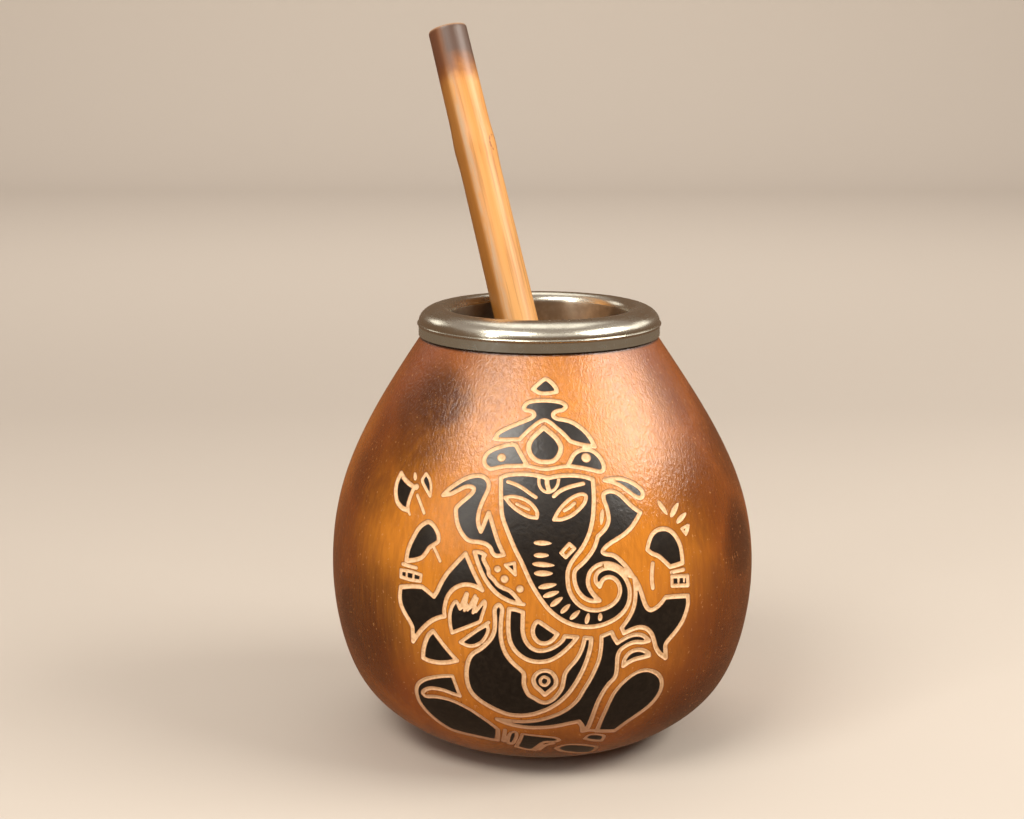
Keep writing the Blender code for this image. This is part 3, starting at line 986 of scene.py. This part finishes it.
skin = {
    "sockets": {"Specular IOR Level": 0.68},
    "base": (0.34, 0.089, 0.010),
    "red": (0.22, 0.052, 0.009),
    "redNoise": (38, 4, 0.6),
    "redRamp": (0.36, 0.66),
    "gold": (0.66, 0.235, 0.022),
    # Darker tone for the skin's own mottling and for painted shade at its sides and bottom.
    "mottleAndShadeTone": (0.042, 0.010, 0.002),
    # Patches: middle in the view, size in millimetres, strength.
    # Golden patches: the skin's own lighter tone, and at the left front also painted light.
    "golden": [((535, 590), 30, 0.8), ((440, 570), 20, 0.9), ((545, 395), 17, 0.65),
               ((610, 420), 13, 0.7), ((630, 560), 18, 0.55), ((485, 440), 13, 0.45),
               ((420, 500), 14, 0.6)],
    # Darkened patches: the skin's own darker mottling, and at the sides and bottom painted shade.
    "darkened": [((437, 402), 8, 1.0), ((418, 418), 9, 0.85), ((448, 396), 5, 0.9),
                ((414, 440), 11, 0.8), ((385, 455), 11, 0.55), ((375, 475), 11, 0.65),
                ((365, 625), 15, 0.9), ((472, 388), 9, 0.35), ((740, 540), 10, 1.0),
                ((735, 620), 20, 0.75), ((350, 550), 12, 0.5), ((700, 700), 18, 0.85),
                ((722, 450), 12, 0.65), ((708, 495), 12, 0.6), ((400, 725), 17, 0.9),
                ((640, 750), 14, 0.75), ((672, 395), 8, 0.4), ((540, 752), 10, 0.6)],
    # The same sort of patches round the back: turn in degrees, height, size, strength.
    "goldenBehind": [(142, 30, 21, 0.6), (-138, 46, 20, 0.6), (104, 34, 15, 0.45),
                     (178, 56, 17, 0.6), (-96, 60, 14, 0.4)],
    "darkenedBehind": [(-120, 52, 16, 0.8), (150, 40, 18, 0.8), (-165, 66, 13, 0.7),
                      (110, 62, 12, 0.6), (-100, 24, 15, 0.6), (175, 18, 14, 0.5)],
    "fade": (1.55, 0.35),    # where a patch ends and where it is full, in sizes
    "wobble": 0.9,           # how far its edge wanders, in sizes
    "wobbleNoise": (60, 3, 0.55),
    "streakNoise": ((1.0, 1.0, 0.11), 950, 3, 0.6),
    "streakInDarkened": (0.2, 0.75, 0.72, 1.0),
    "streakRamp": (0.36, 0.66, 0.0, 0.24),
    "streak": (0.20, 0.055, 0.012),
    "speckNoise": (1500, 2, 0.5),
    "speckRamp": (0.66, 0.74, 0.0, 0.35),
    "speck": (0.72, 0.38, 0.14),
    # Painted shade: a dark line on the skin just under the collar's skirt. The same tone makes the
    # burnt line beside every cut.
    "burntLineAndShadeTone": (0.030, 0.010, 0.006),
    "ledgeShadeRamp": ((ledgeHigh - 0.55) * mm, (ledgeHigh - 0.1) * mm, 0.0, 0.95),
    "burntRamp": (carving["burntReach"] - 0.05, 1.05, 0.0, 0.42),    # beside every cut
    "glossNoise": (300, 3, 0.6),
    "glossRamp": (0.3, 0.7, 0.16, 0.24),
    "glossInGrain": 0.4,
    "fibreNoise": ((1.0, 1.0, 0.25), 2100, 3, 0.65),
    "bump": (0.6, 0.00025),
}


def patchShare(tree, vector, wobble, place, size, strength):
    gap = vectorValue(tree, 'DISTANCE', vector, tuple(c * mm for c in place))
    gap = math2(tree, 'ADD', gap, times(tree, wobble, size * skin["wobble"] * mm))
    low, high = (share * size * mm for share in skin["fade"])
    return ranged(tree, gap, low, high, 0.0, strength)


def patchPlaces(tone):
    places = [(skinPoint(*ontoSkin([spot])[0]), size, strength)
              for spot, size, strength in skin[tone]]
    for turn, height, size, strength in skin[tone + "Behind"]:
        along = np.interp(height, outlinePoints[:, 1], outlineAlong)
        places.append((skinPoint(np.array(math.radians(turn)), along), size, strength))
    return places


def edgeOf(tree):
    # Half widths from the nearest cut.
    return addNode(tree, "ShaderNodeAttribute", attribute_name="edge").outputs["Fac"]


def drawnSkin(tree):
    vector = ownPlace(tree)
    wobble = math2(tree, 'SUBTRACT', noise(tree, vector, *skin["wobbleNoise"]), 0.5)
    redness = ranged(tree, noise(tree, vector, *skin["redNoise"]), *skin["redRamp"])
    # Golden patches: the skin's own lighter tone, and painted light at the left front.
    golden = [(patchShare(tree, vector, wobble, *patch), skin["gold"])
              for patch in patchPlaces("golden")]
    # Darkened patches: the skin's own mottling, and painted shade at its sides and bottom.
    darkened = 0.0
    for patch in patchPlaces("darkened"):
        darkened = math2(tree, 'MAXIMUM', darkened, patchShare(tree, vector, wobble, *patch))
    streaks = stretchedNoise(tree, *skin["streakNoise"])
    darkened = times(tree, darkened, ranged(tree, streaks, *skin["streakInDarkened"]))
    specks = noise(tree, vector, *skin["speckNoise"])
    color = layered(tree, skin["base"], (redness, skin["red"]), *golden, (darkened, skin["mottleAndShadeTone"]),
                    (ranged(tree, streaks, *skin["streakRamp"]), skin["streak"]),
                    (ranged(tree, specks, *skin["speckRamp"]), skin["speck"]),
                    # Painted shade under the collar's skirt, then the burnt line beside the cuts.
                    (ranged(tree, heightOf(tree, vector), *skin["ledgeShadeRamp"]), skin["burntLineAndShadeTone"]),
                    (ranged(tree, edgeOf(tree), *skin["burntRamp"]), skin["burntLineAndShadeTone"]))
    gloss = noise(tree, vector, *skin["glossNoise"])
    grain = math2(tree, 'ADD', stretchedNoise(tree, *skin["fibreNoise"]),
                  times(tree, gloss, skin["glossInGrain"]))
    return {"Base Color": color, "Roughness": ranged(tree, gloss, *skin["glossRamp"]),
            "Normal": bumped(tree, grain, *skin["bump"])}


paleCut = {
    "sockets": {"Roughness": 0.72},
    "grain": (1300, 3, 0.6),
    "toneRamp": (0.35, 0.75),
    "tones": ((0.90, 0.62, 0.37), (0.72, 0.43, 0.21)),
    "bump": (0.5, 0.0001),
    # Painted shade: the cuts grow darker towards the bottom.
    "lowShadeRamp": (0.030, 0.009, 0.0, 0.85),    # by the height
    "lowShadeTone": (0.38, 0.17, 0.085),
    "rimRamp": (0.72, 1.0, 0.0, 0.85),    # from the middle of a cut to its side
    "rimTone": (0.26, 0.085, 0.022),
}
burntBlack = {
    "sockets": {"Roughness": 0.33, "Specular IOR Level": 0.7},
    "grain": (1100, 4, 0.65),
    "toneRamp": (0.35, 0.75),
    "tones": ((0.005, 0.0035, 0.0022), (0.018, 0.013, 0.008)),
    "bump": (0.45, 0.00016),
}
rawInside = {
    "sockets": {"Roughness": 0.9},
    "grain": (260, 5, 0.65),
    "toneRamp": (0.3, 0.7),
    "tones": ((0.13, 0.08, 0.045), (0.07, 0.04, 0.02)),
    "bump": (0.6, 0.0005),
}


def shadedAndBurntCut(tree, vector, color):
    # Low on the gourd the cuts are darkened as painted shade; their rims are burnt.
    return layered(tree, color,
                   (ranged(tree, heightOf(tree, vector), *paleCut["lowShadeRamp"]), paleCut["lowShadeTone"]),
                   (ranged(tree, edgeOf(tree), *paleCut["rimRamp"]), paleCut["rimTone"]))


# Collar: the solid's section, drawn with finer rounds.

collar = {
    "radius": 24.85, "sheet": 0.7, "foot": 84.7, "skirt": 2.3, "bead": 0.28, "crest": 20.4,
    "dome": 3.2, "lip": 2.2, "sleeve": 14.0, "left": -0.74,
    "sleeveEdge": 0.15,      # chamfer of the sleeve's lower end
    # The lip's last rows take the sleeve's steel: duller, and darker as painted shade.
    "shadedRows": 3,           # rows of the lip that are as dull as the sleeve
    "around": 192, "lipSteps": 14, "domeSteps": 22, "beadSteps": 8,
    "crease": 40,
}


def arcPoints(middle, radii, start, end, steps):
    angles = np.radians(np.linspace(start, end, steps + 1))
    return np.stack([middle[0] + radii[0] * np.cos(angles),
                     middle[1] + radii[1] * np.sin(angles)], axis=1)


def turnedMesh(name, section, around, crease):
    # A closed section turned round the Z axis, radii and heights in millimetres.
    angles = np.linspace(0, 2 * math.pi, around, endpoint=False)
    rings = [np.stack([r * np.sin(angles), -r * np.cos(angles), np.full(around, z)], axis=1)
             for r, z in section]
    faces = []
    for k in range(len(section)):
        a, b = k * around, (k + 1) % len(section) * around
        for i in range(around):
            n = (i + 1) % around
            faces.append((a + i, a + n, b + n, b + i))
    mesh = newMesh(name, np.vstack(rings) * mm, faces)
    mesh.set_sharp_from_angle(angle=math.radians(crease))
    return mesh


def makeCollar():
    radius, sheet, foot, bead = (collar[key] for key in ("radius", "sheet", "foot", "bead"))
    crest, dome, lip = collar["crest"], collar["dome"], collar["lip"]
    beadHigh = foot + collar["skirt"]
    crestHigh = beadHigh + bead + dome
    throat, sleeveFoot = crest - lip, crestHigh - collar["sleeve"]
    chamfer, thin = collar["sleeveEdge"], lip - sheet
    domeMiddle, lipMiddle = (crest, beadHigh + bead), (crest, crestHigh - lip)
    outer = [(radius, foot), (radius, beadHigh - bead)]
    outer += [*arcPoints((radius, beadHigh), (bead, bead), -90, 90, collar["beadSteps"])[1:],
              *arcPoints(domeMiddle, (radius - crest, dome), 0, 90, collar["domeSteps"])[1:],
              *arcPoints(lipMiddle, (lip, lip), 90, 180, collar["lipSteps"])[1:],
              (throat, sleeveFoot + chamfer), (throat + chamfer, sleeveFoot)]
    inner = [(throat + sheet, sleeveFoot),
             *arcPoints(lipMiddle, (thin, thin), 180, 90, collar["lipSteps"]),
             *arcPoints(domeMiddle, (radius - crest - sheet, dome - sheet), 90, 0,
                        collar["domeSteps"])[1:],
             (radius - sheet, foot)]
    mesh = turnedMesh("collar", outer + inner, collar["around"], collar["crease"])
    mesh.materials.append(newMaterial("polished steel", steel["sockets"], drawnSteel))
    # The sleeve's steel: duller, and darkened browner as painted shade inside the mouth.
    mesh.materials.append(mottled("sleeve steel", shadedSleeveSteel))
    shadedRow = len(outer) - 2 - collar["shadedRows"]
    for face in mesh.polygons:
        row = face.index // collar["around"]
        face.material_index = 1 if shadedRow <= row <= len(outer) else 0
    obj = newObject("collar", mesh)
    obj.location.x = collar["left"] * mm
    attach(obj, "root")
    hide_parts("steel_collar")
    report("collar")


steel = {
    "sockets": {"Metallic": 1.0},
    "fineNoise": (420, 4, 0.6),
    "lineNoise": ((0.4, 0.4, 14.0), 260, 2, 0.5),
    "lineLift": 0.5,         # how much of the gloss the lines leave as it is
    "glossRamp": (0.25, 0.75, 0.22, 0.29),
    "toneRamp": (0.3, 0.75),
    "tones": ((0.70, 0.69, 0.60), (0.58, 0.57, 0.49)),
    "skirtFade": 0.0003,     # height over which the skirt's tone sets in
    # Painted reflection: tint of the skirt's steel.
    "skirtTone": (0.85, 1.0, 1.0),
    "dentNoise": (90, 2, 0.5),
    "dentShare": 2.0,
    "bump": (0.02, 0.0001),
}
# Sleeve: rougher steel, with darker browner tones that are painted shade and dim reflection inside
# the mouth.
shadedSleeveSteel = {
    "sockets": {"Metallic": 1.0, "Roughness": 0.42},
    "grain": (150, 4, 0.65),
    "toneRamp": (0.3, 0.7),
    "tones": ((0.52, 0.47, 0.39), (0.30, 0.26, 0.21)),
}


def drawnSteel(tree):
    vector = ownPlace(tree)
    fine = noise(tree, vector, *steel["fineNoise"])
    lines = stretchedNoise(tree, *steel["lineNoise"])
    gloss = times(tree, fine, math2(tree, 'ADD', lines, steel["lineLift"]))
    color = mixed(tree, ranged(tree, fine, *steel["toneRamp"]), *steel["tones"])
    # Painted reflection: the skirt's steel is tinted greyer than the lip's, to change the colour
    # of the room it mirrors.
    skirtTop = (collar["foot"] + collar["skirt"] - collar["bead"]) * mm
    skirt = ranged(tree, heightOf(tree, vector), skirtTop, skirtTop - steel["skirtFade"])
    dents = times(tree, noise(tree, vector, *steel["dentNoise"]), steel["dentShare"])
    return {"Base Color": mixed(tree, skirt, color, steel["skirtTone"]),
            "Roughness": ranged(tree, gloss, *steel["glossRamp"]),
            "Normal": bumped(tree, math2(tree, 'ADD', lines, dents), *steel["bump"])}


# Straw: its own Z axis runs along the cane, from the foot inside the gourd to the mouth end.

straw = {
    "lipPoint": Vector((-6.2, 11.9, 89.0)),
    "lean": Vector((-0.2465, 0.3058, 1.0)),
    "footHigh": 7.4, "topHigh": 146.0, "footRadius": 4.95, "mouthRadius": 4.15,
    "bore": 2.6, "edge": 0.4, "nodeHigh": 121.5, "swell": 0.22, "swellWide": 3.5,
    "nodeReach": 5,          # how far from the node the rings stand closer
    "rings": (150, 34, 40),  # below the node, round it and above it
    "boreRings": (3, 1, 12),    # first below the mouth end, last above the foot, number
    "boreEdges": (0.1, 0.15, 0.2),    # flare at the foot and at the mouth end, depth of that
    "mouthRound": [(0.35, 0.2), (1.1, 0.0)],    # how far in and below its end, in edges
    "around": 56,
    "crease": 35,
}
straw["axis"] = straw["lean"].normalized()
straw["turn"] = straw["axis"].to_track_quat('Z', 'Y')
straw["length"] = (straw["topHigh"] - straw["footHigh"]) / straw["axis"].z
straw["node"] = (straw["nodeHigh"] - straw["footHigh"]) / straw["axis"].z


def makeStraw():
    length, node, edge, bore = (straw[key] for key in ("length", "node", "edge", "bore"))
    below, beside, above = straw["rings"]
    low, high = node - straw["nodeReach"], node + straw["nodeReach"]
    heights = np.concatenate([np.linspace(edge, low, below), np.linspace(low, high, beside)[1:],
                              np.linspace(high, length - edge, above)[1:]])
    radii = straw["footRadius"] + (straw["mouthRadius"] - straw["footRadius"]) * heights / length
    radii = radii + straw["swell"] * np.exp(-((heights - node) / straw["swellWide"]) ** 2)
    footFlare, mouthFlare, flareDeep = straw["boreEdges"]
    first, last, count = straw["boreRings"]
    section = [(bore + footFlare, 0.0), (radii[0] - edge, 0.0), *zip(radii, heights)]
    section += [(radii[-1] - edge * inwards, length - edge * down)
                for inwards, down in straw["mouthRound"]]
    section += [(bore + mouthFlare, length), (bore, length - flareDeep)]
    section += [(bore, h) for h in np.linspace(length - first, last, count)]
    mesh = turnedMesh("straw", section, straw["around"], straw["crease"])
    mesh.materials.append(newMaterial("cane", cane["sockets"], drawnCane))
    obj = newObject("straw", mesh)
    foot = straw["lipPoint"] + straw["lean"] * (straw["footHigh"] - straw["lipPoint"].z)
    obj.location = foot * mm
    obj.rotation_mode = 'QUATERNION'
    obj.rotation_quaternion = straw["turn"]
    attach(obj, "root")
    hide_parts("cane_straw")
    report("straw")


cane = {
    "sockets": {"Roughness": 0.40},
    "golden": (0.67, 0.295, 0.070), "pale": (0.75, 0.38, 0.12), "brown": (0.25, 0.088, 0.009),
    "burnt": (0.10, 0.062, 0.048), "darkened": (0.26, 0.075, 0.018), "dark": (0.09, 0.024, 0.008),
    # The streak colour is a painted highlight along the cane.
    "streak": (0.50, 0.37, 0.25), "cutEnd": (0.50, 0.30, 0.17),
    "bandNoise": ((1.0, 1.0, 0.06), 330, 2, 0.5), "bandRamp": (0.35, 0.65),
    "fibreNoise": ((1.0, 1.0, 0.03), 1500, 4, 0.6), "fibreRamp": (0.45, 0.75, 0.0, 0.5),
    # Ramps across the cane as the photo shows it, from its left flank to its right one.
    "brownSide": (-0.0013, -0.0029, 0.0, 0.85),
    # Where the painted highlight lies across the cane.
    "highlightSides": ((-0.0024, -0.0017), (-0.0003, -0.0013)), "highlightFront": (0.0, 0.001),
    "highlightBreakNoise": ((1.0, 1.0, 0.15), 700, 4, 0.65), "highlightBreakRamp": (0.35, 0.6, 0.15, 0.7),
    # Ramps along it, in millimetres from the mouth end.
    "blotchNoise": (160, 4, 0.6), "blotchReach": 0.007,
    "toastRamp": (-14.0, -8.0, 0.0, 0.8), "charRamp": (-11.5, -5.5),
    "charSide": (-0.0022, -0.0004, 0.35, 0.95), "endRamp": (-0.6, -0.15, 0.0, 0.7),
    # The bud's scar: place to the right and above the node, how much taller than wide, radius.
    "scarPlace": (0.0041, -0.6), "scarTall": 2.2, "scarRadius": 0.0016,
    "scarRamp": (0.0006, 0.0001, 0.0, 0.75),
    "scarNoise": (700, 3, 0.5), "scarWorn": (0.44, 0.60),
    "bump": (0.3, 0.0002),
}


def fromMouthEnd(low, high, *levels):
    return ((straw["length"] + low) * mm, (straw["length"] + high) * mm, *levels)


def drawnCane(tree):
    vector = ownPlace(tree)
    height = heightOf(tree, vector)
    fibres = stretchedNoise(tree, *cane["fibreNoise"])
    bands = stretchedNoise(tree, *cane["bandNoise"])
    # Round the cane: its left flank is browner, and beside that runs a pale streak that is a
    # painted highlight.
    axis = straw["turn"] @ Vector((0, 0, 1))
    rightward = axis.cross(Vector((0, -1, 0))).normalized()
    sideward, front = [
        vectorValue(tree, 'DOT_PRODUCT', vector, tuple(straw["turn"].inverted() @ direction))
        for direction in (rightward, rightward.cross(axis))]
    brownSide = ranged(tree, sideward, *cane["brownSide"])
    left, right = (ranged(tree, sideward, *side) for side in cane["highlightSides"])
    onHighlight = times(tree, left, right)
    onHighlight = times(tree, onHighlight, ranged(tree, front, *cane["highlightFront"]))
    highlightBreakup = ranged(tree, stretchedNoise(tree, *cane["highlightBreakNoise"]), *cane["highlightBreakRamp"])
    # Towards the mouth end the cane is toasted and then charred, in blotches.
    blotch = math2(tree, 'SUBTRACT', noise(tree, vector, *cane["blotchNoise"]), 0.5)
    top = math2(tree, 'ADD', height, times(tree, blotch, cane["blotchReach"]))
    darkened = ranged(tree, top, *fromMouthEnd(*cane["toastRamp"]))
    charred = times(tree, ranged(tree, top, *fromMouthEnd(*cane["charRamp"])),
                    ranged(tree, sideward, *cane["charSide"]))
    # The scar of a bud at the node, a dark ring half round the right side.
    tall = cane["scarTall"]
    spot = addNode(tree, "ShaderNodeCombineXYZ", {"X": times(tree, sideward, tall), "Z": height})
    place = (cane["scarPlace"][0] * tall, 0.0, (straw["node"] + cane["scarPlace"][1]) * mm)
    gap = vectorValue(tree, 'DISTANCE', spot.outputs["Vector"], place)
    ring = math2(tree, 'ABSOLUTE', math2(tree, 'SUBTRACT', gap, cane["scarRadius"]))
    scar = times(tree, ranged(tree, ring, *cane["scarRamp"]),
                 ranged(tree, noise(tree, vector, *cane["scarNoise"]), *cane["scarWorn"]))
    color = layered(tree, cane["golden"], (ranged(tree, bands, *cane["bandRamp"]), cane["pale"]),
                    (ranged(tree, fibres, *cane["fibreRamp"]), cane["brown"]),
                    # The pale streak here is a painted highlight, broken up by a noise.
                    (brownSide, cane["brown"]), (times(tree, onHighlight, highlightBreakup), cane["streak"]),
                    (darkened, cane["darkened"]), (times(tree, darkened, brownSide), cane["dark"]),
                    (charred, cane["burnt"]),
                    (ranged(tree, height, *fromMouthEnd(*cane["endRamp"])), cane["cutEnd"]),
                    (scar, cane["darkened"]))
    return {"Base Color": color, "Normal": bumped(tree, fibres, *cane["bump"])}


# Studio: a pale floor that rises behind into a pale wall, and soft lamps.

studio = {
    "floor": {"Base Color": (0.55, 0.50, 0.44), "Roughness": 0.8},
    "floorReach": 8.0,
    "wallAt": 1.6,
    "wallHigh": 0.35,
    "wallRound": (6, 84, 14),    # first and last angle of its rounded foot, rows
    "world": (0.42, 0.25, 0.15),
    "worldStrength": 0.45,
    "ceilings": {"bright ceiling": 0.5, "dull ceiling": 0.4},
    "ceilingSpread": 120,
    "ceilingTilt": 12,
    "lampColor": (1.0, 0.95, 0.87),
    # place, what it faces, size across and up, power
    "lamps": {
        "right lamp": ((0.544, -0.164, 0.51), (0, 0, 0.06), (0.46, 0.24), 4.4),
        "left lamp": ((-0.307, -0.429, 0.62), (0, 0, 0.06), (0.42, 0.22), 4.0),
        "low lamp": ((-0.56, -0.54, 0.30), (0, 0, 0.06), (0.05, 0.34), 0.8),
        "top lamp": ((0.0, 0.30, 0.90), (0, 0, 0.06), (0.6, 0.5), 1.2),
        # Dim cards that show mainly in the steel.
        "left card": ((-0.517, 0.434, 0.43), (0, 0, 0.09), (0.24, 0.18), 0.26),
        "right card": ((0.60, 0.32, 0.40), (0, 0, 0.09), (0.42, 0.22), 0.46),
        "front card": ((0.14, -0.55, 0.54), (0, 0, 0.09), (0.5, 0.22), 0.2),
        "wall lamp": ((0.0, 0.55, 0.75), (0, 1.6, 0.45), (1.6, 0.3), 9.0),
    },
}


def makeStudio():
    high, reach, foot = studio["wallHigh"], studio["floorReach"], studio["wallAt"]
    profile = [(-reach, 0.0), (foot - high, 0.0)]
    profile += [(foot - high + high * math.sin(a), high - high * math.cos(a))
                for a in np.radians(np.linspace(*studio["wallRound"]))]
    vertices = [(side * reach, y, z) for y, z in profile for side in (-1, 1)]
    faces = [(2 * k, 2 * k + 1, 2 * k + 3, 2 * k + 2) for k in range(len(profile) - 1)]
    mesh = newMesh("floor", vertices, faces)
    mesh.materials.append(newMaterial("pale floor", studio["floor"]))
    floor = newObject("floor", mesh)
    floor.visible_glossy = False    # the varnish and the steel mirror the dim room, not the floor
    for name, (place, aim, size, power) in studio["lamps"].items():
        data = bpy.data.lights.new(name, 'AREA')
        data.shape = 'RECTANGLE'
        data.size, data.size_y = size
        data.energy = power
        data.color = studio["lampColor"]
        lamp = newObject(name, data)
        lamp.location = place
        lamp.visible_camera = False
        lamp.rotation_euler = (Vector(aim) - Vector(place)).to_track_quat('-Z', 'Y').to_euler()
    # Only a part of the ceiling's light shows as gloss, or the skin would look grey.
    for name, energy in studio["ceilings"].items():
        data = bpy.data.lights.new(name, 'SUN')
        data.energy = energy
        data.angle = math.radians(studio["ceilingSpread"])
        ceiling = newObject(name, data)
        ceiling.rotation_euler = (math.radians(studio["ceilingTilt"]), 0, 0)
        ceiling.visible_glossy = name == "bright ceiling"
    world = bpy.data.worlds.new("soft room")
    world.use_nodes = True
    background = world.node_tree.nodes["Background"]
    background.inputs["Color"].default_value = (*studio["world"], 1.0)
    background.inputs["Strength"].default_value = studio["worldStrength"]
    scene.world = world
    report("studio")


makeCamera()
makeStudio()
makeGourd()
makeCollar()
makeStraw()
